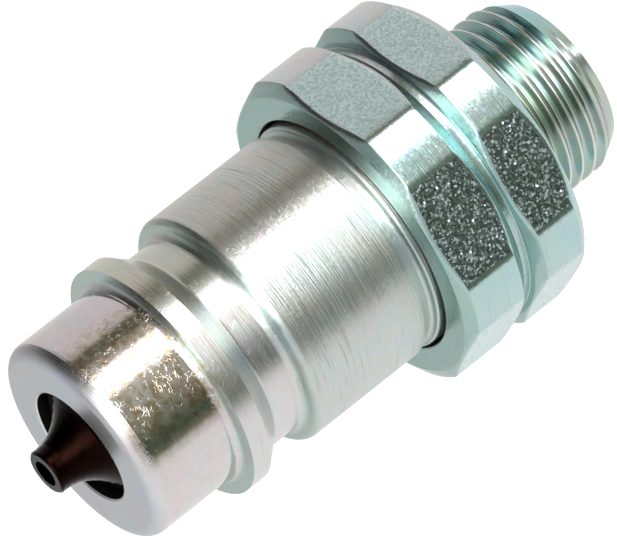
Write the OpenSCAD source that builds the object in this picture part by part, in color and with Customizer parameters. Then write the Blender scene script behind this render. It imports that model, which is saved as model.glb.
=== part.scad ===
// Poppet plug of a quick coupling for a liquid line: the half that is pushed into the socket.
// It stands on its port end with its axis along +Z and its nose up.
// The origin is the centre of the port's end face. All sizes are millimetres.

/* [Port end] */
// Major diameter of the port thread
port_thread_d = 18; // [16:0.5:20]
// Height of the port from its end face to the hexagon
port_len = 10.5; // [9:0.5:16]
// Width of the relief between the thread and the hexagon
port_relief_w = 1.6; // [1:0.1:2.5]
// Diameter of that relief
port_relief_d = 15.9; // [15:0.1:16]
// Diameter of the end face, inside the thread's lead chamfer
port_face_d = 15.3; // [14.8:0.1:15.8]
// Outer diameter of the tube that the port takes
tube_d = 12; // [10:0.5:13]
// Diameter of the 24 degree cone at the mouth
cone_mouth_d = 14.3; // [13.6:0.1:14.6]
// Depth of the tube socket from the end face
socket_depth = 7; // [6.5:0.5:8]
// Diameter of the flow bore
flow_d = 10; // [6:0.5:10]

/* [Hexagon body] */
// Width across the flats of the bar
hex_af = 30; // [29:0.5:32]
// How much the turned corners measure over the flats
corner_rise = 2; // [1:0.25:3]
// Length of both hexagons with the relief between them
hex_len = 14.5; // [13:0.5:20]
// Length of the front hexagon up to its back taper
front_hex_len = 6.1; // [4:0.1:8]
// Radial width of the chamfer round the front face
face_bevel = 1.25; // [0.5:0.05:1.5]
// Length of the taper behind the front hexagon
back_taper_len = 1.5; // [0.8:0.1:2]
// Width of the relief floor between the hexagons
hex_relief_w = 0.8; // [0.4:0.1:1.5]
// Depth of that floor below the turned corners
hex_relief_depth = 1.7; // [1.3:0.1:2]
// Radial width of the chamfer round the rear hexagon's front face
rear_bevel = 1.1; // [0.5:0.1:1.2]
// Size of the chamfer at the bottom of the rear hexagon
tail_chamfer = 1.2; // [0.5:0.1:1.5]
// Thickness of the floor that the plug body is screwed down on
seat_floor = 2.5; // [1.5:0.1:3.5]

/* [Plug body] */
// Diameter of the nose that enters the socket
nose_d = 20.5; // [19.5:0.1:21]
// Length of the nose up to the collar
nose_len = 9.6; // [8:0.1:12]
// Radius round the front edge of the nose
nose_edge_r = 1.4; // [0.5:0.1:2]
// Diameter of the collar
collar_d = 24; // [23:0.1:25]
// Width of the collar's cylindrical band
collar_w = 2; // [1:0.1:3]
// Fillet between the nose and the collar
collar_fillet = 0.7; // [0.3:0.1:1]
// Diameter at the bottom of the groove for the locking balls
lock_d = 20.6; // [20:0.1:21.5]
// Width of that groove, from the collar's band to the barrel
lock_w = 5.5; // [4.5:0.1:7]
// Length of the ramp from the collar down to the groove
lock_ramp = 2.3; // [1.5:0.1:3]
// Radius at the bottom corners of the groove
lock_r = 0.8; // [0.3:0.1:1]
// Diameter of the barrel
barrel_d = 23.8; // [23:0.1:24.4]
// Length of the barrel
barrel_len = 12.8; // [10:0.1:20]
// Radius round the front edge of the barrel
barrel_edge_r = 0.7; // [0.3:0.1:0.9]
// Gap between the barrel and the hexagon
neck_gap = 2.1; // [1.5:0.1:3]
// Width of the relief behind the barrel
neck_w = 1.6; // [0.8:0.1:1.8]
// Diameter of that relief
neck_d = 22.4; // [21.5:0.1:23]

/* [Screwed joint] */
// Thread between the plug body and the hexagon body
joint_thread_d = 22; // [21:0.5:22.5]
// Play between the screwed pieces
joint_play = 0.02; // [0.01:0.01:0.05]
// Gap round the barrel in the recess of the hexagon's front face
recess_gap = 0.4; // [0.3:0.1:0.8]
// Depth of that recess
recess_depth = 5.4; // [5.2:0.1:6]
// Width of the gland for the body seal
gland_w = 3.2; // [3:0.1:3.6]
// Width of the land behind the gland
gland_land = 1; // [0.6:0.1:1.4]
// Section of the body O-ring
o_ring_section = 1.9; // [1.6:0.1:2]
// Thickness of the backup ring
backup_t = 1; // [0.6:0.1:1.1]

/* [Valve bore] */
// Diameter of the mouth in the nose
mouth_d = 11.4; // [10.8:0.1:12]
// Length of the mouth
mouth_len = 1.9; // [1.5:0.1:2.5]
// Diameter of the spring chamber
chamber_d = 15.4; // [14.6:0.1:15.8]
// Diameter of the bore for the spring guide
guide_bore_d = 16.8; // [16.2:0.1:17]

/* [Poppet] */
// How far the tip stands out of the nose
tip_out = 3.9; // [2:0.1:5]
// Diameter of the tip
tip_d = 4.4; // [3.6:0.1:5]
// Diameter of the centre hole in the tip
tip_hole_d = 2.6; // [1.5:0.1:3]
// Depth of the centre hole
tip_hole_depth = 3; // [1:0.1:5]
// Radius of the hollow flare from the tip to the rim
flare_r = 4.6; // [4:0.1:6]
// Gap round the rim in the mouth
rim_gap = 0.4; // [0.3:0.1:0.6]
// Flow gap round the valve flange in the spring chamber
flange_gap = 0.9; // [0.8:0.1:1.1]
// Thickness of the valve flange
flange_t = 1.6; // [1:0.1:2.5]
// Diameter of the stem
stem_d = 6; // [5:0.1:6.5]
// Section of the valve O-ring
seal_section = 1.8; // [1.4:0.1:2]
// Gap left between the valve O-ring and its seat
seat_gap = 0.1; // [0.05:0.01:0.2]
// Distance that the poppet is pushed in when the halves are joined
stroke = 6; // [3:0.5:7]

/* [Spring and guide] */
// Wire diameter of the spring
wire_d = 1.2; // [1:0.1:1.5]
// Mean diameter of the coils
coil_d = 10.8; // [10:0.1:11.4]
// Number of working turns
working_turns = 7; // [5:1:8]
// Length that the coils have left at full stroke
spring_reserve = 5.8; // [2:0.2:7]
// Length of the spring guide
guide_len = 5; // [4:0.5:6]
// Wall of the guide's outer ring
guide_wall = 1.1; // [0.8:0.1:1.4]
// Diameter of the guide's hub
hub_d = 9; // [8.5:0.1:10]
// Thickness of each arm of the guide
arm_t = 2.2; // [1.5:0.1:3]
// Number of arms
arm_count = 3; // [3:1:4]
// Play between the stem and the hub
stem_play = 0.04; // [0.02:0.01:0.08]
// Length of stem behind the guide
stem_tail = 3; // [2:0.5:4]
// Thickness of the retaining ring
clip_t = 1; // [0.8:0.1:1.2]
// Depth of its groove
clip_groove = 0.6; // [0.4:0.1:0.7]
// Radial width of its band
clip_band = 1.5; // [1.2:0.1:1.8]

/* [Hidden] */
// Small clearance where one piece is slipped on or into another
slip = 0.02;
// Overshoot of the cutters
cut = 0.5;
arc_steps = 8;

zinc = [0.78, 0.80, 0.80];
burnished = [0.17, 0.11, 0.09];
rubber = [0.06, 0.06, 0.06];
wire_grey = [0.62, 0.63, 0.65];
guide_grey = [0.70, 0.71, 0.72];
backup_white = [0.90, 0.89, 0.84];

// Heights of the hexagon body's steps
hex_z = port_len;
hex_top = hex_z + hex_len;
hex_od = hex_af + corner_rise;
hex_face_d = hex_od - 2 * face_bevel;
rear_face_d = hex_od - 2 * rear_bevel;
hex_relief_d = hex_od - 2 * hex_relief_depth;
hex_chamfer = face_bevel * tan(30);
rear_chamfer = rear_bevel * tan(30);
taper_top = hex_top - front_hex_len;
floor_top = taper_top - back_taper_len;
rear_face_z = floor_top - hex_relief_w;
seat_z = hex_z + seat_floor;
cone_len = (cone_mouth_d - tube_d) / 2 / tan(12);
port_lead = (port_thread_d - port_face_d) / 2 / tan(30);
relief_top_chamfer = (port_thread_d - port_relief_d) / 2;

// Heights of the plug body's steps
barrel_z = hex_top + neck_gap;
barrel_top = barrel_z + barrel_len;
collar_z = barrel_top + lock_w;
collar_top = collar_z + collar_w;
nose_z = collar_top + nose_len;
neck_z = barrel_z - neck_w;
recess_d = barrel_d + 2 * recess_gap;
recess_z = hex_top - recess_depth;
land_gap = 0.2;
land_z = recess_z + land_gap;
gland_z = land_z + gland_land;
gland_top = gland_z + gland_w;
gland_d = recess_d - 2 * o_ring_section - 2 * slip;

// Heights of the poppet's steps, with the valve O-ring at the 45 degree seat
seat_top = nose_z - mouth_len;
seat_bottom = seat_top - (chamber_d - mouth_d) / 2;
rim_d = mouth_d - 2 * rim_gap;
flange_d = chamber_d - 2 * flange_gap;
tip_z = nose_z + tip_out;
tip_bevel = 0.2;
tip_land = 0.35;
flare_z = tip_z - tip_bevel - tip_land;
flare_turn = acos(1 - (rim_d - tip_d) / 2 / flare_r);
seal_groove_depth = 1;
seal_in_d = rim_d - 2 * seal_groove_depth;
seal_mid_r = seal_in_d / 2 + seal_section / 2 + slip;
seal_mid_z = seat_top - (seal_mid_r - mouth_d / 2) - (seal_section / 2 + seat_gap) * sqrt(2);
seal_groove_top = seal_mid_z + seal_section / 2 + slip;
seal_groove_z = seal_mid_z - seal_section / 2 - slip;
flange_z = seal_groove_z - flange_t;

// Spring between the flange and the guide, with one closed turn at each end
coil_turns = working_turns + 2;
spring_len = coil_turns * wire_d + spring_reserve + stroke;
step_z = flange_z - spring_len - 2 * slip;
guide_z = step_z - guide_len;
clip_z = guide_z - clip_t;
stem_z = clip_z - stem_tail;

// Points on an arc about [r, z], from angle a to angle b
function arc(r, z, radius, a, b) = [for (i = [0:arc_steps])
    let (t = a + (b - a) * i / arc_steps) [r + radius * cos(t), z + radius * sin(t)]];

module turned(profile) {
    rotate_extrude($fn = 96) polygon(profile);
}

// A ring of round section
module o_ring(mid_r, section) {
    rotate_extrude($fn = 96) translate([mid_r, 0]) circle(d = section, $fn = 32);
}

// Outside of the hexagon body as it leaves the lathe
module hex_turning() {
    turned([
        [0, hex_z],
        [hex_od / 2 - tail_chamfer, hex_z],
        [hex_od / 2, hex_z + tail_chamfer],
        [hex_od / 2, rear_face_z - rear_chamfer],
        [rear_face_d / 2, rear_face_z],
        [hex_relief_d / 2, rear_face_z],
        [hex_relief_d / 2, floor_top],
        [hex_od / 2, taper_top],
        [hex_od / 2, hex_top - hex_chamfer],
        [hex_face_d / 2, hex_top],
        [0, hex_top]
    ]);
}

module port_turning() {
    turned([
        [0, 0],
        [port_face_d / 2, 0],
        [port_thread_d / 2, port_lead],
        [port_thread_d / 2, hex_z - port_relief_w - relief_top_chamfer],
        [port_relief_d / 2, hex_z - port_relief_w],
        [port_relief_d / 2, hex_z + cut],
        [0, hex_z + cut]
    ]);
}

// Tube socket, flow bore, thread bore and recess
module hex_bores() {
    mouth_chamfer = 0.1;
    floor_lip = 0.4;
    funnel_r = guide_bore_d / 2 - floor_lip;
    turned([
        [0, -cut],
        [cone_mouth_d / 2 + cut * tan(12), -cut],
        [tube_d / 2, cone_len],
        [tube_d / 2, socket_depth],
        [flow_d / 2, socket_depth],
        [flow_d / 2, seat_z - (funnel_r - flow_d / 2)],
        [funnel_r, seat_z],
        [joint_thread_d / 2 + joint_play, seat_z],
        [joint_thread_d / 2 + joint_play, recess_z],
        [recess_d / 2, recess_z],
        [recess_d / 2, hex_top - mouth_chamfer],
        [recess_d / 2 + mouth_chamfer + cut, hex_top + cut],
        [0, hex_top + cut]
    ]);
}

module hex_body() {
    color(zinc)
    difference() {
        union() {
            intersection() {
                hex_turning();
                translate([0, 0, hex_z]) cylinder(d = hex_af / cos(30), h = hex_len, $fn = 6);
            }
            port_turning();
        }
        hex_bores();
    }
}

// Outside of the plug body, from the joint thread up to the nose
module plug_turning() {
    ramp_drop = (collar_d - lock_d) / 2;
    ramp_turn = atan2(lock_ramp, ramp_drop);
    thread_lead = 0.8;
    neck_edge_r = 0.25;
    turned(concat(
        [
            [0, seat_z],
            [joint_thread_d / 2 - thread_lead, seat_z],
            [joint_thread_d / 2, seat_z + thread_lead],
            [joint_thread_d / 2, land_z],
            [barrel_d / 2, land_z],
            [barrel_d / 2, gland_z],
            [gland_d / 2, gland_z],
            [gland_d / 2, gland_top],
            [barrel_d / 2, gland_top]
        ],
        arc(barrel_d / 2 - neck_edge_r, neck_z - neck_edge_r, neck_edge_r, 0, 90),
        arc(neck_d / 2 + neck_w / 4, neck_z + neck_w / 4, neck_w / 4, -90, -180),
        arc(neck_d / 2 + neck_w / 4, barrel_z - neck_w / 4, neck_w / 4, 180, 90),
        [
            [barrel_d / 2, barrel_z]
        ],
        arc(barrel_d / 2 - barrel_edge_r, barrel_top - barrel_edge_r, barrel_edge_r, 0, 90),
        arc(lock_d / 2 + lock_r, barrel_top + lock_r, lock_r, -90, -180),
        arc(lock_d / 2 + lock_r, collar_z - lock_ramp, lock_r, 180, 180 - (90 - ramp_turn)),
        [
            [collar_d / 2, collar_z],
            [collar_d / 2, collar_top]
        ],
        arc(nose_d / 2 + collar_fillet, collar_top + collar_fillet, collar_fillet, -90, -180),
        arc(nose_d / 2 - nose_edge_r, nose_z - nose_edge_r, nose_edge_r, 0, 90),
        [
            [0, nose_z]
        ]
    ));
}

// Mouth, 45 degree seat, spring chamber and guide bore
module plug_bores() {
    mouth_chamfer = 0.15;
    end_chamfer = 0.4;
    turned([
        [0, seat_z - cut],
        [guide_bore_d / 2 + end_chamfer + cut, seat_z - cut],
        [guide_bore_d / 2, seat_z + end_chamfer],
        [guide_bore_d / 2, clip_z - slip],
        [guide_bore_d / 2 + clip_groove, clip_z - slip],
        [guide_bore_d / 2 + clip_groove, guide_z],
        [guide_bore_d / 2, guide_z],
        [guide_bore_d / 2, step_z],
        [chamber_d / 2, step_z],
        [chamber_d / 2, seat_bottom],
        [mouth_d / 2, seat_top],
        [mouth_d / 2, nose_z - mouth_chamfer],
        [mouth_d / 2 + mouth_chamfer + cut, nose_z + cut],
        [0, nose_z + cut]
    ]);
}

module plug_body() {
    color(zinc)
    difference() {
        plug_turning();
        plug_bores();
    }
}

// Stem, flange, seal groove, rim and trumpet-shaped tip
module poppet() {
    stem_chamfer = 0.5;
    hole_point = tip_hole_d / 4;
    color(burnished)
    difference() {
        turned(concat(
            [
                [0, stem_z],
                [stem_d / 2 - stem_chamfer, stem_z],
                [stem_d / 2, stem_z + stem_chamfer],
                [stem_d / 2, flange_z],
                [flange_d / 2, flange_z],
                [flange_d / 2, seal_groove_z],
                [seal_in_d / 2, seal_groove_z],
                [seal_in_d / 2, seal_groove_top],
                [rim_d / 2, seal_groove_top]
            ],
            arc(tip_d / 2 + flare_r, flare_z, flare_r, 180 + flare_turn, 180),
            [
                [tip_d / 2, tip_z - tip_bevel],
                [tip_d / 2 - tip_bevel, tip_z],
                [0, tip_z]
            ]
        ));
        turned([
            [0, tip_z - tip_hole_depth - hole_point],
            [tip_hole_d / 2, tip_z - tip_hole_depth],
            [tip_hole_d / 2, tip_z + cut],
            [0, tip_z + cut]
        ]);
    }
}

module poppet_seal() {
    color(rubber)
    translate([0, 0, seal_mid_z]) o_ring(seal_mid_r, seal_section);
}

// Height of the coil's centre line after t turns: closed end turns and an even pitch between them
closed_pitch = wire_d + 0.1;
open_rise = spring_len - wire_d - 2 * closed_pitch;
function coil_z(t) = t < 1 ? closed_pitch * t
    : t < coil_turns - 1 ? closed_pitch + open_rise / working_turns * (t - 1)
    : closed_pitch + open_rise + closed_pitch * (t - coil_turns + 1);

module spring() {
    per_turn = 24;
    sides = 10;
    rings = coil_turns * per_turn;
    points = [for (i = [0:rings], k = [0:sides - 1])
        let (a = 360 * i / per_turn, b = 360 * k / sides)
        let (r = coil_d / 2 + wire_d / 2 * cos(b))
        [r * cos(a), r * sin(a), coil_z(i / per_turn) + wire_d / 2 * sin(b)]];
    skin = [for (i = [0:rings - 1], k = [0:sides - 1])
        let (n = (k + 1) % sides)
        [i * sides + k, i * sides + n, (i + 1) * sides + n, (i + 1) * sides + k]];
    start = [[for (k = [sides - 1:-1:0]) k]];
    finish = [[for (k = [0:sides - 1]) rings * sides + k]];
    color(wire_grey)
    translate([0, 0, step_z + slip + wire_d / 2]) polyhedron(points, concat(skin, start, finish), convexity = 10);
}

// Outer ring and hub joined by arms, with the liquid passing between them
module spring_guide() {
    ring_r = guide_bore_d / 2 - slip;
    arm_root = stem_d / 2 + arm_t / 4;
    arm_tip = ring_r - guide_wall / 2;
    color(guide_grey)
    translate([0, 0, guide_z])
    difference() {
        union() {
            difference() {
                cylinder(r = ring_r, h = guide_len, $fn = 96);
                translate([0, 0, -cut]) cylinder(r = ring_r - guide_wall, h = guide_len + 2 * cut, $fn = 96);
            }
            cylinder(d = hub_d, h = guide_len, $fn = 64);
            for (i = [0:arm_count - 1])
                rotate([0, 0, 360 / arm_count * i])
                translate([arm_root, -arm_t / 2, 0])
                cube([arm_tip - arm_root, arm_t, guide_len]);
        }
        translate([0, 0, -cut]) cylinder(d = stem_d + 2 * stem_play, h = guide_len + 2 * cut, $fn = 64);
    }
}

// Sprung ring with two eyes for the pliers
module retaining_ring() {
    outer_r = guide_bore_d / 2 + clip_groove - slip;
    inner_r = outer_r - clip_band;
    opening = 40;
    eye_r = 1.1;
    eye_hole_r = 0.5;
    eye_turn = opening / 2 + 6;
    color(wire_grey)
    translate([0, 0, clip_z])
    linear_extrude(clip_t)
    difference() {
        union() {
            difference() {
                circle(r = outer_r, $fn = 96);
                circle(r = inner_r, $fn = 96);
                polygon([[0, 0], 2 * outer_r * [cos(-opening / 2), sin(-opening / 2)],
                    2 * outer_r * [cos(opening / 2), sin(opening / 2)]]);
            }
            for (side = [-1, 1])
                rotate(side * eye_turn) translate([inner_r, 0]) circle(r = eye_r, $fn = 32);
        }
        for (side = [-1, 1])
            rotate(side * eye_turn) translate([inner_r, 0]) circle(r = eye_hole_r, $fn = 24);
    }
}

module body_o_ring() {
    color(rubber)
    translate([0, 0, gland_top - o_ring_section / 2 - slip])
    o_ring(gland_d / 2 + slip + o_ring_section / 2, o_ring_section - slip);
}

module backup_ring() {
    color(backup_white)
    translate([0, 0, gland_z])
    difference() {
        cylinder(d = recess_d - 2 * slip, h = backup_t, $fn = 96);
        translate([0, 0, -cut]) cylinder(d = gland_d + 2 * slip, h = backup_t + 2 * cut, $fn = 96);
    }
}

plug_body();
hex_body();
poppet();
poppet_seal();
spring();
spring_guide();
retaining_ring();
body_o_ring();
backup_ring();
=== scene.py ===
"""Looks of the quick coupling plug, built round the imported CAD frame. All lengths are metres."""
import math

import bpy
import bmesh
from mathutils import Matrix, Vector


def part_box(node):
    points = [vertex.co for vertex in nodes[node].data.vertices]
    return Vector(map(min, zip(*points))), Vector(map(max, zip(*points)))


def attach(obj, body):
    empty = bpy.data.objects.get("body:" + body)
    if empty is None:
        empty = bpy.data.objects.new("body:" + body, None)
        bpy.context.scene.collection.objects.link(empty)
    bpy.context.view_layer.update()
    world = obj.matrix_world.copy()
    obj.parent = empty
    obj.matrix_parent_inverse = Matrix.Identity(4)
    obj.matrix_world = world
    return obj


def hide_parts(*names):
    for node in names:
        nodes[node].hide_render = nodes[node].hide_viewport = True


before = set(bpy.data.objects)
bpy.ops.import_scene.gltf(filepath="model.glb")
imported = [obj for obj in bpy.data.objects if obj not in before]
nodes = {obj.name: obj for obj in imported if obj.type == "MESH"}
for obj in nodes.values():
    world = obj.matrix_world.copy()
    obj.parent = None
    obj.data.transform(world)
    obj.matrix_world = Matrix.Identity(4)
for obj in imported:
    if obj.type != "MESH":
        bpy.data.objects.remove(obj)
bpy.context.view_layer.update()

MM = 0.001
UM = 0.000001
hex_low, hex_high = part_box("hex_body")

HEX_OD = hex_high.x - hex_low.x
HEX_AF = hex_high.y - hex_low.y
HEX_TOP = hex_high.z
NOSE_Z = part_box("plug_body")[1].z


# ---------------------------------------------------------------- mesh helpers

def mesh_object(name, verts, faces):
    """A smooth-shaded object with its faces turned outwards."""
    mesh = bpy.data.meshes.new(name)
    mesh.from_pydata(verts, [], faces)
    mesh.update()
    bm = bmesh.new()
    bm.from_mesh(mesh)
    bmesh.ops.recalc_face_normals(bm, faces=bm.faces)
    bm.to_mesh(mesh)
    bm.free()
    mesh.polygons.foreach_set("use_smooth", [True] * len(mesh.polygons))
    obj = bpy.data.objects.new(name, mesh)
    bpy.context.scene.collection.objects.link(obj)
    return obj


def rounded(corners, steps=4):
    """The points of a closed profile of (r, z, radius) corners, each corner rounded to its radius."""
    points = []
    for i, (r, z, radius) in enumerate(corners):
        here = Vector((r, z))
        back = Vector(corners[i - 1][:2]) - here
        ahead = Vector(corners[(i + 1) % len(corners)][:2]) - here
        half = back.angle(ahead) / 2
        if radius <= 0 or half > math.radians(89):
            points.append(here)
            continue
        reach = min(radius / math.tan(half), 0.45 * back.length, 0.45 * ahead.length)
        radius = reach * math.tan(half)
        start = here + back.normalized() * reach
        end = here + ahead.normalized() * reach
        middle = here + (back.normalized() + ahead.normalized()).normalized() * (radius / math.sin(half))
        for k in range(steps + 1):
            spoke = (start - middle).lerp(end - middle, k / steps)
            points.append(middle + spoke.normalized() * radius)
    return points


def resampled(points, longest):
    """Adds points along a closed profile, so that no side is longer than asked for at its middle."""
    out = []
    for i, p in enumerate(points):
        q = points[(i + 1) % len(points)]
        count = max(1, math.ceil((q - p).length / longest((p + q) / 2)))
        out.extend(p.lerp(q, k / count) for k in range(count))
    return out


# ---------------------------------------------------------------- hexagon body with its thread

# port, upwards from its face at z = 0
PORT_FACE_R = 7.65 * MM
THREAD_R = 9.0 * MM
THREAD_DEPTH = 0.8 * MM
PITCH = 1.5 * MM
LEAD_Z = 2.34 * MM
THREAD_END_Z = 7.85 * MM
RELIEF_R = 7.95 * MM
RELIEF_Z = 8.9 * MM
PORT_LEN = 10.5 * MM

# the two hexagons and the groove between them
HEX_R = HEX_OD / 2
REAR_FACE_R = 14.8 * MM
REAR_BEVEL_Z = 11.7 * MM
GROOVE_LOW, GROOVE_HIGH = 15.96 * MM, 18.9 * MM
GROOVE_SHOULDER_R = 14.9 * MM
GROOVE_R = 14.3 * MM
GROOVE_FLOOR_LOW, GROOVE_FLOOR_HIGH = 16.6 * MM, 17.4 * MM
FRONT_BEVEL_Z = 24.28 * MM
FRONT_FACE_R = 14.75 * MM

# recess and bores, downwards from the front face
RECESS_R = 12.3 * MM
RECESS_DEPTH = 5.4 * MM
RECESS_CHAMFER = 0.1 * MM
JOINT_R = 11.02 * MM
JOINT_END_Z = 13.0 * MM
FUNNEL_R = 8.0 * MM
FUNNEL_DEPTH = 3.0 * MM
FLOW_R = 5.0 * MM
TUBE_R = 6.0 * MM
TUBE_STOP_Z = 7.0 * MM
CONE_END_Z = 5.41 * MM
CONE_R = 7.15 * MM

# how round the edges are
KEEN = 0.04 * MM
FINE = 0.1 * MM
WORN = 0.12 * MM
FLAT_EDGE_R = 0.06 * MM


def hexagon_section():
    """Half section of the hexagon body: (radius, height, edge radius) of each corner, once round."""
    funnel_end_z = JOINT_END_Z - FUNNEL_DEPTH
    recess_z = HEX_TOP - RECESS_DEPTH
    port = [(PORT_FACE_R, 0, 0.05 * MM), (THREAD_R, LEAD_Z, 0.03 * MM), (THREAD_R, THREAD_END_Z, 0.05 * MM),
            (RELIEF_R, RELIEF_Z, 0.15 * MM), (RELIEF_R, PORT_LEN, 0.25 * MM)]
    rear_hexagon = [(REAR_FACE_R, PORT_LEN, FINE), (HEX_R, REAR_BEVEL_Z, WORN), (HEX_R, GROOVE_LOW, WORN)]
    groove = [(GROOVE_SHOULDER_R, GROOVE_FLOOR_LOW, FINE), (GROOVE_R, GROOVE_FLOOR_LOW, WORN),
              (GROOVE_R, GROOVE_FLOOR_HIGH, WORN)]
    front_hexagon = [(HEX_R, GROOVE_HIGH, WORN), (HEX_R, FRONT_BEVEL_Z, WORN), (FRONT_FACE_R, HEX_TOP, FINE)]
    recess = [(RECESS_R + RECESS_CHAMFER, HEX_TOP, KEEN), (RECESS_R, HEX_TOP - RECESS_CHAMFER, KEEN),
              (RECESS_R, recess_z, FINE), (JOINT_R, recess_z, 0), (JOINT_R, JOINT_END_Z, 0)]
    bore = [(FUNNEL_R, JOINT_END_Z, FINE), (FLOW_R, funnel_end_z, FINE), (FLOW_R, TUBE_STOP_Z, FINE),
            (TUBE_R, TUBE_STOP_Z, FINE), (TUBE_R, CONE_END_Z, FINE), (CONE_R, 0, 0.06 * MM)]
    return port + rear_hexagon + groove + front_hexagon + recess + bore


def longest_side(place):
    """How long a side of the section may be at (r, z): short on the thread, longer on hexagon and bores."""
    if place.x > 7.6 * MM and place.y < 9.0 * MM:
        return 0.055 * MM
    return 0.35 * MM if place.x > 12.5 * MM else 2.0 * MM


def turn_angles():
    """The angles of the section's copies, in degrees: closest where a flat meets the strip at its corner."""
    half_flat = math.degrees(math.acos(HEX_AF / HEX_OD))
    flat_end, strip_start = half_flat - 1.2, half_flat + 1.0
    zones = [(-flat_end, flat_end, 16), (flat_end, strip_start, 10), (strip_start, 60 - strip_start, 7),
             (60 - strip_start, 60 - flat_end, 10)]
    turns = []
    for side in range(6):
        centre = 30 + 60 * side
        for low, high, count in zones:
            turns.extend(centre + low + (high - low) * k / count for k in range(count))
    return turns


def thread_radius(r, z, turn):
    """Radius of the threaded outside at height z and angle turn, where the plain port has radius r."""
    phase = (z / PITCH + turn / 360) % 1.0
    flank = abs(phase - 0.5) * 2
    crest = 0.12
    rise = min(1.0, flank / (1 - crest)) ** 1.6
    cut_r = THREAD_R - THREAD_DEPTH * (1 - rise)
    fade_low, fade_high = RELIEF_Z - 1.2 * MM, RELIEF_Z - 0.3 * MM
    fade = min(1.0, max(0.0, (z - fade_low) / (fade_high - fade_low)))
    return min(r, cut_r + (r - cut_r) * fade * fade)


def hexagon_radius(r, turn):
    """The turned radius r cut back to the nearest flat, with a small round where the two meet."""
    flat_r = HEX_AF / 2 / math.cos(math.radians(turn % 60 - 30))
    gap = r - flat_r
    if abs(gap) > 1.5 * MM:
        return min(r, flat_r)
    return (r + flat_r - math.sqrt(gap * gap + 4 * FLAT_EDGE_R * FLAT_EDGE_R)) / 2


def finished_radius(r, z, turn):
    """Radius of the finished body at height z and angle turn, where its half section has radius r."""
    if z < 9.0 * MM and r > 7.5 * MM:
        return thread_radius(r, z, turn)
    if r > 13.0 * MM:
        return hexagon_radius(r, turn)
    return r


def hexagon_body():
    profile = resampled(rounded(hexagon_section()), longest_side)
    turns = turn_angles()
    verts = []
    for turn in turns:
        a = math.radians(turn)
        for p in profile:
            r = finished_radius(p.x, p.y, turn)
            verts.append((r * math.cos(a), r * math.sin(a), p.y))
    n, m = len(turns), len(profile)
    faces = [(i * m + j, (i + 1) % n * m + j, (i + 1) % n * m + (j + 1) % m, i * m + (j + 1) % m)
             for i in range(n) for j in range(m)]
    return mesh_object("hexagon_and_port", verts, faces)


hexagon = hexagon_body()
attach(hexagon, "body")
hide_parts("hex_body")


# ---------------------------------------------------------------- building node trees

class Nodes:
    """Short calls for building one node tree. Each takes values or sockets and gives back a socket."""

    def __init__(self, tree):
        self.tree = tree

    def feed(self, socket, value):
        if isinstance(value, bpy.types.NodeSocket):
            self.tree.links.new(value, socket)
        else:
            socket.default_value = value

    def add(self, kind, inputs=(), **settings):
        """Adds a node and gives back the node itself."""
        node = self.tree.nodes.new(kind)
        for key, value in settings.items():
            setattr(node, key, value)
        for key, value in dict(inputs).items():
            self.feed(node.inputs[key], value)
        return node

    def math(self, operation, a, b=0.0, c=0.0, clamp=False):
        node = self.add("ShaderNodeMath", {0: a, 1: b, 2: c}, operation=operation, use_clamp=clamp)
        return node.outputs[0]

    def vector(self, operation, a, b=(0.0, 0.0, 0.0)):
        return self.add("ShaderNodeVectorMath", {0: a, 1: b}, operation=operation).outputs[0]

    def mix(self, factor, a, b, blend="MIX"):
        node = self.add("ShaderNodeMix", data_type="RGBA", blend_type=blend)
        for key, value in ((0, factor), (6, a), (7, b)):
            self.feed(node.inputs[key], value)
        return node.outputs[2]

    def ramp(self, factor, stops):
        node = self.add("ShaderNodeValToRGB", {"Fac": factor})
        while len(node.color_ramp.elements) < len(stops):
            node.color_ramp.elements.new(0.5)
        for element, (at, colour) in zip(node.color_ramp.elements, stops):
            element.position = at
            element.color = opaque(colour)
        return node.outputs["Color"]

    def fade(self, value, start, end, low=0.0, high=1.0, smooth="LINEAR"):
        """Goes from low to high while the value goes from start to end."""
        limits = {"Value": value, "From Min": start, "From Max": end, "To Min": low, "To Max": high}
        return self.add("ShaderNodeMapRange", limits, interpolation_type=smooth).outputs[0]

    def noise(self, vector, scale, detail=3.0, roughness=0.5):
        inputs = {"Vector": vector, "Scale": scale, "Detail": detail, "Roughness": roughness}
        return self.add("ShaderNodeTexNoise", inputs).outputs["Fac"]

    def place(self):
        """Object-space position, its three parts and the distance from the part's axis."""
        coord = self.add("ShaderNodeTexCoord").outputs["Object"]
        axes = self.add("ShaderNodeSeparateXYZ", {0: coord}).outputs
        squares = [self.math("MULTIPLY", axis, axis) for axis in axes[:2]]
        return coord, axes, self.math("SQRT", self.math("ADD", *squares))

    def normal(self):
        """The three parts of the true normal in object space."""
        normal = self.add("ShaderNodeTexCoord").outputs["Normal"]
        return self.add("ShaderNodeSeparateXYZ", {0: normal}).outputs


def grey(x):
    return (x, x, x, 1)


def opaque(colour):
    return (*colour[:3], 1)


def new_material(name):
    material = bpy.data.materials.new(name)
    material.use_nodes = True
    tree = material.node_tree
    tree.nodes.clear()
    kit = Nodes(tree)
    out = kit.add("ShaderNodeOutputMaterial")
    shader = kit.add("ShaderNodeBsdfPrincipled")
    tree.links.new(shader.outputs[0], out.inputs["Surface"])
    return material, kit, shader


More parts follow.
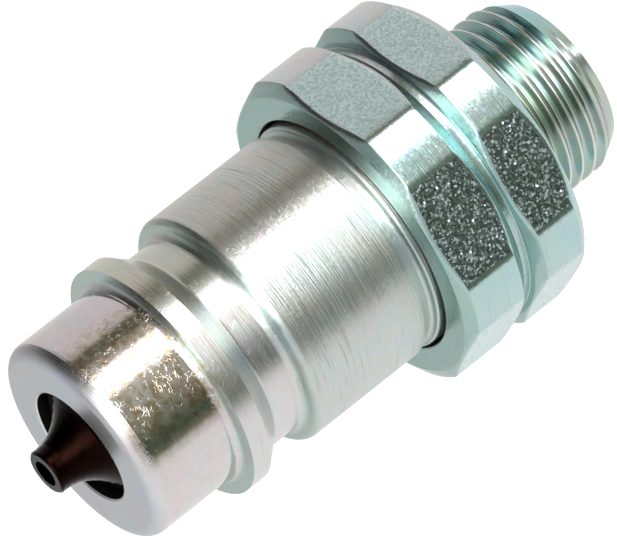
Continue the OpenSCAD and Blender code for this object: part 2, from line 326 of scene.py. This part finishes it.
def plain(name, colour, metallic, roughness, specks=0.1):
    """A simple surface, darker and smoother in small specks."""
    material, kit, shader = new_material(name)
    cloud = kit.noise(kit.place()[0], 900.0, 4.0, 0.6)
    dark = tuple(c * (1 - specks * 2) for c in colour)
    kit.feed(shader.inputs["Base Color"], kit.mix(cloud, opaque(dark), opaque(colour)))
    kit.feed(shader.inputs["Roughness"], kit.math("MULTIPLY_ADD", cloud, 0.15, roughness - 0.07))
    bump = kit.add("ShaderNodeBump", {"Height": cloud, "Strength": 0.2, "Distance": 0.02 * MM})
    kit.feed(shader.inputs["Normal"], bump.outputs[0])
    shader.inputs["Metallic"].default_value = metallic
    return material


def dress(obj, *materials):
    obj.data.materials.clear()
    for material in materials:
        obj.data.materials.append(material)


# ---------------------------------------------------------------- zinc plating

def toward(kit, axes, radius, compass):
    """1 on the side of the part that faces the compass direction, in degrees from +X, and -1 behind it."""
    a = math.radians(compass)
    reach = kit.math("ADD", kit.math("MULTIPLY", axes[0], math.cos(a)),
                     kit.math("MULTIPLY", axes[1], math.sin(a)))
    return kit.math("DIVIDE", reach, kit.math("MAXIMUM", radius, 1 * MM))


def plating_tint_and_reflection(kit, coord, axes, radius, left, right, face, sheen):
    """Passivated zinc's hue: one tint on one side, another on the rest and a third on faces turned up. These
    side and upward tints are painted reflection; the random patches over them are the plating's own.
    """
    cloud = kit.noise(coord, 130.0, 4.0, 0.6)
    # painted reflection: the side facing -10 degrees takes the left tint and the rest the right tint
    side = kit.math("MULTIPLY_ADD", toward(kit, axes, radius, -10), 4.0, -3.2)
    colour = kit.mix(kit.math("ADD", side, cloud, clamp=True), opaque(right), opaque(left))
    # painted reflection: faces turned up take the face tint
    up = kit.math("POWER", kit.math("MAXIMUM", kit.normal()[2], 0.0), 1.5)
    colour = kit.mix(up, colour, opaque(face))
    patches = kit.ramp(kit.noise(coord, 330.0, 3.0, 0.6),
                       [(0.34, (1.02, 0.94, 0.98)), (0.44, (1.0, 0.99, 0.93)), (0.52, grey(1)),
                        (0.6, (0.93, 1.0, 0.97)), (0.68, (0.97, 0.96, 1.04))])
    colour = kit.mix(1.0, colour, patches, "MULTIPLY")
    if not sheen:
        return colour
    oily = kit.ramp(kit.noise(coord, 420.0, 2.0, 0.5),
                    [(0.36, (1.25, 0.85, 1.1)), (0.45, (0.8, 0.95, 1.25)), (0.53, (0.85, 1.05, 1.0)),
                     (0.62, (1.0, 1.1, 0.85))])
    return kit.mix(sheen, colour, kit.mix(1.0, colour, oily, "MULTIPLY"))


def turning_lines(kit, axes, radius):
    """Two noises drawn out into lines round the axis, a fine one and a coarse one."""
    along = kit.math("ADD", axes[2], kit.math("MULTIPLY", radius, 0.7))
    wound = kit.add("ShaderNodeCombineXYZ", {0: kit.math("MULTIPLY", axes[0], 0.03),
                                             1: kit.math("MULTIPLY", axes[1], 0.03), 2: along}).outputs[0]
    return kit.noise(wound, 7500.0, 2.0), kit.noise(wound, 4000.0, 3.0, 0.7)


def scratch_lines(kit, coord, scale, rotation, stretch):
    """Thin broken strokes: 1 along them and 0 between."""
    mapping = {"Vector": coord, "Rotation": rotation, "Scale": stretch}
    turned = kit.add("ShaderNodeMapping", mapping).outputs[0]
    off = kit.math("ABSOLUTE", kit.math("SUBTRACT", kit.noise(turned, scale, 3.0, 0.7), 0.5))
    line = kit.fade(off, 0.0, 0.03, 1.0, 0.0, "SMOOTHSTEP")
    gate = kit.fade(kit.noise(turned, scale * 1.7, 2.0), 0.5, 0.58)
    return kit.math("MULTIPLY", line, gate)


def flat_mask(kit, axes):
    """1 on the drawn flats of the hexagon and 0 elsewhere, from the position and the true normal."""
    reach = kit.math("ABSOLUTE", axes[1])
    for side in (-1, 1):
        across = kit.math("ADD", kit.math("MULTIPLY", axes[0], math.cos(math.pi / 6)),
                          kit.math("MULTIPLY", axes[1], side * math.sin(math.pi / 6)))
        reach = kit.math("MAXIMUM", reach, kit.math("ABSOLUTE", across))
    outside = kit.math("GREATER_THAN", reach, HEX_AF / 2 - 0.02 * MM)
    upright = kit.math("LESS_THAN", kit.math("ABSOLUTE", kit.normal()[2]), 0.1)
    return kit.math("MULTIPLY", outside, upright)


def tilted(kit, normal, cell, size):
    """The normal tipped by the colour of its crystal: most crystals a little, a few a lot."""
    off = kit.vector("SUBTRACT", cell, (0.5, 0.5, 0.5))
    cubed = kit.vector("MULTIPLY", kit.vector("MULTIPLY", off, off), off)
    tilt = kit.add("ShaderNodeVectorMath", {0: cubed, "Scale": size}, operation="SCALE").outputs[0]
    return kit.vector("NORMALIZE", kit.vector("ADD", normal, tilt))


def zinc(name, left, right, face, roughness, anisotropy=0.0, rings=8.0, streaks=0.1, scratches=0.0,
         dents=0.0, grain=0.0, sheen=0.0, flats=False, crest_highlights=False):
    """Zinc-plated turned steel. Depths of rings, scratches and dents are in micrometres."""
    material, kit, shader = new_material(name)
    coord, axes, radius = kit.place()
    fine, coarse = turning_lines(kit, axes, radius)
    colour = plating_tint_and_reflection(kit, coord, axes, radius, left, right, face, sheen)
    colour = kit.mix(1.0, colour, kit.ramp(coarse, [(0.32, grey(1 - streaks)), (0.42, grey(1))]), "MULTIPLY")
    rough = kit.math("MULTIPLY_ADD", coarse, 0.10, roughness - 0.05)
    height = kit.math("MULTIPLY", kit.math("ADD", fine, coarse), rings * UM)

    # the nose's front face is matt and hardly marked, and one side of the nose has more wear than the rest,
    # with a brownish stain there that is partly wear and partly painted shade
    behind_face = kit.fade(axes[2], NOSE_Z - 0.3 * MM, NOSE_Z - 1.5 * MM)
    rough = kit.mix(behind_face, grey(0.36), rough)
    wear_and_shade_facing = kit.fade(toward(kit, axes, radius, -62), 0.74, 0.9, 0.12, 1.0)
    wear_and_shade_mask = kit.math("MULTIPLY", wear_and_shade_facing, behind_face)
    clusters = kit.ramp(kit.noise(coord, 260.0, 2.0, 0.5), [(0.38, grey(0)), (0.52, grey(1))])
    scuffed = kit.math("MULTIPLY", wear_and_shade_mask, clusters)
    if scratches:
        lines = kit.math("ADD", scratch_lines(kit, coord, 650.0, (0.5, 0.9, 0.3), (1.0, 0.5, 1.0)),
                         scratch_lines(kit, coord, 800.0, (1.2, -0.6, 1.0), (0.5, 1.0, 1.0)))
        cut = kit.math("MULTIPLY", kit.math("MULTIPLY", lines, scuffed), scratches * UM)
        height = kit.math("SUBTRACT", height, cut)
    if dents:
        pits = kit.math("MULTIPLY", kit.noise(coord, 2300.0, 2.0, 0.6), dents * UM)
        height = kit.math("ADD", height, kit.math("MULTIPLY", pits, scuffed))
        # brownish stain on the side with more wear: partly wear, partly painted shade of that side
        stain_and_shade = kit.ramp(kit.noise(coord, 1200.0, 3.0, 0.7),
                         [(0.38, (0.68, 0.56, 0.38)), (0.6, (1.0, 0.98, 0.92))])
        colour = kit.mix(wear_and_shade_mask, colour, kit.mix(1.0, colour, stain_and_shade, "MULTIPLY"))

    cell = kit.add("ShaderNodeTexVoronoi", {"Vector": coord, "Scale": 5200.0}).outputs["Color"]
    tilt_size = grain
    if flats:
        mask = flat_mask(kit, axes)
        # painted shade: the flats on the side facing -90 degrees are painted darker; they are also smoother
        # and sparkle more
        painted_shade_side = kit.math("MULTIPLY_ADD", toward(kit, axes, radius, -90), 10.0, -8.0, clamp=True)
        shade = kit.add("ShaderNodeSeparateColor", {0: cell}).outputs[2]
        drawn = kit.mix(shade, (0.45, 0.58, 0.59, 1), (0.76, 0.91, 0.91, 1))
        drawn = kit.mix(1.0, drawn, kit.mix(painted_shade_side, grey(1), (0.66, 0.66, 0.68, 1)), "MULTIPLY")
        colour = kit.mix(mask, colour, drawn)
        rough = kit.mix(mask, rough, kit.mix(painted_shade_side, grey(0.28), grey(0.16)))
        height = kit.math("MULTIPLY", height, kit.math("SUBTRACT", 1.0, mask))
        sparkle = kit.math("MULTIPLY_ADD", painted_shade_side, 2.0, 0.12 - grain)
        tilt_size = kit.math("MULTIPLY_ADD", mask, sparkle, grain)
    # painted highlight: the thread's crests are painted paler
    if crest_highlights:
        crest = kit.fade(radius, THREAD_R - 0.14 * MM, THREAD_R - 0.03 * MM)
        colour = kit.mix(crest, colour, (0.74, 0.74, 0.66, 1))
    normal = kit.add("ShaderNodeBump", {"Height": height, "Strength": 1.0, "Distance": 1.0}).outputs[0]
    if grain or flats:
        normal = tilted(kit, normal, cell, tilt_size)

    kit.feed(shader.inputs["Base Color"], colour)
    kit.feed(shader.inputs["Roughness"], rough)
    kit.feed(shader.inputs["Normal"], normal)
    shader.inputs["Metallic"].default_value = 1.0
    if anisotropy:
        shader.inputs["Anisotropic"].default_value = anisotropy
        shader.inputs["Anisotropic Rotation"].default_value = 0.25
        tangent = kit.add("ShaderNodeTangent", direction_type="RADIAL", axis="Z").outputs[0]
        kit.feed(shader.inputs["Tangent"], tangent)
    return material


zinc_nose = zinc("zinc_nose", (0.63, 0.57, 0.60), (0.70, 0.67, 0.69), (0.62, 0.64, 0.68), 0.10, rings=1.0,
                 streaks=0.05, scratches=14.0, dents=7.0)
zinc_groove = zinc("zinc_groove", (0.60, 0.59, 0.52), (0.70, 0.69, 0.70), (0.50, 0.60, 0.57), 0.26, 0.6,
                   rings=12.0, streaks=0.15, scratches=6.0)
zinc_barrel = zinc("zinc_barrel", (0.60, 0.58, 0.55), (0.60, 0.64, 0.63), (0.50, 0.60, 0.57), 0.32, 0.6,
                   rings=30.0, streaks=0.3, scratches=4.0, grain=0.3)
zinc_hex = zinc("zinc_hexagon", (0.60, 0.60, 0.60), (0.50, 0.66, 0.66), (0.38, 0.55, 0.52), 0.2, 0.5,
                rings=12.0, grain=0.35, flats=True)
zinc_port = zinc("zinc_port", (0.40, 0.60, 0.62), (0.52, 0.57, 0.52), (0.40, 0.55, 0.52), 0.18, 0.4,
                 rings=6.0, sheen=0.25, crest_highlights=True)

dress(hexagon, zinc_hex, zinc_port)
for polygon in hexagon.data.polygons:
    polygon.material_index = int(polygon.center.z < PORT_LEN - 0.05 * MM)


# ---------------------------------------------------------------- the other materials

# painted shade: the bores are painted near-black for the shade inside them
painted_shade_bore = plain("painted_shade_bore", (0.05, 0.045, 0.04), 0.9, 0.3, 0.2)
burnished = plain("burnished_steel", (0.010, 0.0035, 0.0024), 1.0, 0.14, 0.2)
rubber = plain("black_rubber", (0.01, 0.01, 0.01), 0.0, 0.5)
wire = plain("spring_wire", (0.5, 0.5, 0.5), 1.0, 0.3)
ring_steel = plain("ring_steel", (0.45, 0.45, 0.46), 1.0, 0.3)
backup_plastic = plain("backup_plastic", (0.78, 0.77, 0.70), 0.0, 0.5, 0.05)

dress(nodes["poppet"], burnished)
dress(nodes["poppet_seal"], rubber)
dress(nodes["spring"], wire)
dress(nodes["spring_guide"], ring_steel)
dress(nodes["retaining_ring"], ring_steel)
dress(nodes["body_o_ring"], rubber)
dress(nodes["backup_ring"], backup_plastic)

NOSE, GROOVE, BARREL, BORE = range(4)
COLLAR_TOP = 47.5 * MM
BARREL_TOP = 39.95 * MM
LIP_DEPTH = 0.2 * MM
MOUTH_R = 8.6 * MM
BORE_R = 5.72 * MM


def plug_zone(place):
    """Which surface of the plug body a face at this place belongs to."""
    radius = math.hypot(place.x, place.y)
    behind_lip = place.z < NOSE_Z - LIP_DEPTH and radius < MOUTH_R
    if behind_lip or radius < BORE_R:
        return BORE
    if place.z > COLLAR_TOP:
        return NOSE
    return GROOVE if place.z > BARREL_TOP else BARREL


plug = nodes["plug_body"]
dress(plug, zinc_nose, zinc_groove, zinc_barrel, painted_shade_bore)
for polygon in plug.data.polygons:
    polygon.material_index = plug_zone(polygon.center)


# ---------------------------------------------------------------- stage, light and camera

def floor():
    """A floor that the camera sees as white, and that takes the object's shadow."""
    size = 4.0
    corners = [(-size, -size, 0), (size, -size, 0), (size, size, 0), (-size, size, 0)]
    mesh = bpy.data.meshes.new("floor")
    mesh.from_pydata(corners, [], [(0, 1, 2, 3)])
    obj = bpy.data.objects.new("floor", mesh)
    bpy.context.scene.collection.objects.link(obj)
    material = bpy.data.materials.new("pale_floor")
    material.use_nodes = True
    material.node_tree.nodes.clear()
    kit = Nodes(material.node_tree)
    camera_ray = kit.add("ShaderNodeLightPath").outputs["Is Camera Ray"]
    strength = kit.math("MULTIPLY", camera_ray, 0.8)
    glow = kit.add("ShaderNodeEmission", {"Color": grey(1), "Strength": strength})
    matt = kit.add("ShaderNodeBsdfDiffuse", {"Color": grey(0.4)})
    both = kit.add("ShaderNodeAddShader", {0: glow.outputs[0], 1: matt.outputs[0]})
    kit.add("ShaderNodeOutputMaterial", {"Surface": both.outputs[0]})
    dress(obj, material)
    obj.visible_glossy = False
    obj.visible_shadow = False


# Brightness of the tent's walls by compass direction, in degrees from +X: below, at and above the horizon.
BRIGHTEST = 5.0
WALLS_BELOW = [
    (-180, 0.97), (-140, 0.92),
    (-130, 0.62), (-125, 0.2), (-115, 0.1), (-103, 0.18), (-91, 0.3), (-79, 0.43), (-67, 0.5), (-56, 0.6),
    (-51, 0.9), (-48, 3.2), (-38, 4.5), (-27, 3.2), (-22, 0.72), (-14, 0.5),
    (-9, 0.22), (3, 0.2),
    (8, 0.66), (20, 0.8), (90, 0.82), (150, 0.93), (180, 0.97),
]
WALLS_LEVEL = [
    (-180, 1.0), (-135, 0.95), (-124, 0.8), (-114, 0.6), (-103, 0.6), (-94, 0.8),
    (-86, 1.6), (-78, 3.5), (-64, 5.0), (-50, 3.5), (-44, 2.6), (-38, 1.6),
    (-28, 0.5), (-15, 0.22), (-5, 0.09), (10, 0.06), (28, 0.07), (42, 0.16), (58, 0.35), (75, 0.5),
    (95, 0.66), (130, 0.75), (150, 0.9), (180, 1.0),
]
WALLS_ABOVE = [
    (-180, 0.85), (-130, 0.95), (-105, 1.3),
    (-96, 3.0), (-20, 3.0),
    (-8, 0.9), (10, 0.5), (30, 0.3), (60, 0.35), (90, 0.5), (110, 0.6), (150, 0.7), (180, 0.85),
]
# The lower walls turn greenish yellow where they are dim: (brightness, tint).
DIM_TINTS = [(0.1, (0.76, 1.0, 0.7)), (0.2, (0.95, 1.0, 0.75)), (0.35, (0.97, 1.0, 0.82)),
             (0.5, (0.99, 1.0, 0.9)), (0.8, (1.0, 1.0, 1.0))]


def studio():
    """A pale light tent with one bright panel and dim gaps, which the camera sees as plain white."""
    world = bpy.data.worlds.new("studio")
    bpy.context.scene.world = world
    world.use_nodes = True
    world.cycles.sampling_method = "NONE"
    world.node_tree.nodes.clear()
    kit = Nodes(world.node_tree)
    direction = kit.add("ShaderNodeTexCoord").outputs["Generated"]
    axes = kit.add("ShaderNodeSeparateXYZ", {0: direction}).outputs
    compass = kit.math("ARCTAN2", axes[1], axes[0])
    share = kit.math("MULTIPLY_ADD", compass, 1 / (2 * math.pi), 0.5)

    def walls(stops):
        return kit.ramp(share, [((at + 180) / 360, grey(value / BRIGHTEST)) for at, value in stops])

    def above(low, high):
        """0 under the elevation low and 1 over the elevation high, both in degrees."""
        return kit.fade(axes[2], math.sin(math.radians(low)), math.sin(math.radians(high)))

    below = walls(WALLS_BELOW)
    dim = kit.ramp(below, [(value / BRIGHTEST, tint) for value, tint in DIM_TINTS])
    below = kit.mix(1.0, below, dim, "MULTIPLY")
    tent = kit.mix(above(52, 72), kit.mix(above(-13, -5), below, walls(WALLS_LEVEL)), walls(WALLS_ABOVE))
    light = kit.add("ShaderNodeBackground", {"Color": tent, "Strength": BRIGHTEST})
    white = kit.add("ShaderNodeBackground", {"Color": grey(1), "Strength": 1.0})
    path = kit.add("ShaderNodeLightPath").outputs
    seen = kit.math("MAXIMUM", path["Is Camera Ray"], path["Is Transmission Ray"])
    both = kit.add("ShaderNodeMixShader", {0: seen, 1: light.outputs[0], 2: white.outputs[0]})
    kit.add("ShaderNodeOutputWorld", {"Surface": both.outputs[0]})


def camera():
    """A long lens from the front, above the plug, turned so that the nose points down and left."""
    azimuth, elevation, roll = math.radians(19.5), math.radians(20.7046), math.radians(128.0474)
    aim = Vector((-0.1658, -0.0587, 30.153)) * MM
    distance = 604.492 * MM
    back = Vector((math.sin(azimuth) * math.cos(elevation), -math.cos(azimuth) * math.cos(elevation),
                   math.sin(elevation)))
    data = bpy.data.cameras.new("camera")
    data.sensor_width = 36.0
    data.lens = 400.15
    data.clip_start, data.clip_end = 0.01, 20.0
    obj = bpy.data.objects.new("camera", data)
    bpy.context.scene.collection.objects.link(obj)
    obj.rotation_mode = "QUATERNION"
    upright = (-back).to_track_quat("-Z", "Y").to_matrix()
    obj.rotation_quaternion = (upright @ Matrix.Rotation(-roll, 3, "Z")).to_quaternion()
    obj.location = aim + back * distance
    bpy.context.scene.camera = obj


floor()
studio()
camera()
bpy.context.scene.view_settings.view_transform = "Standard"
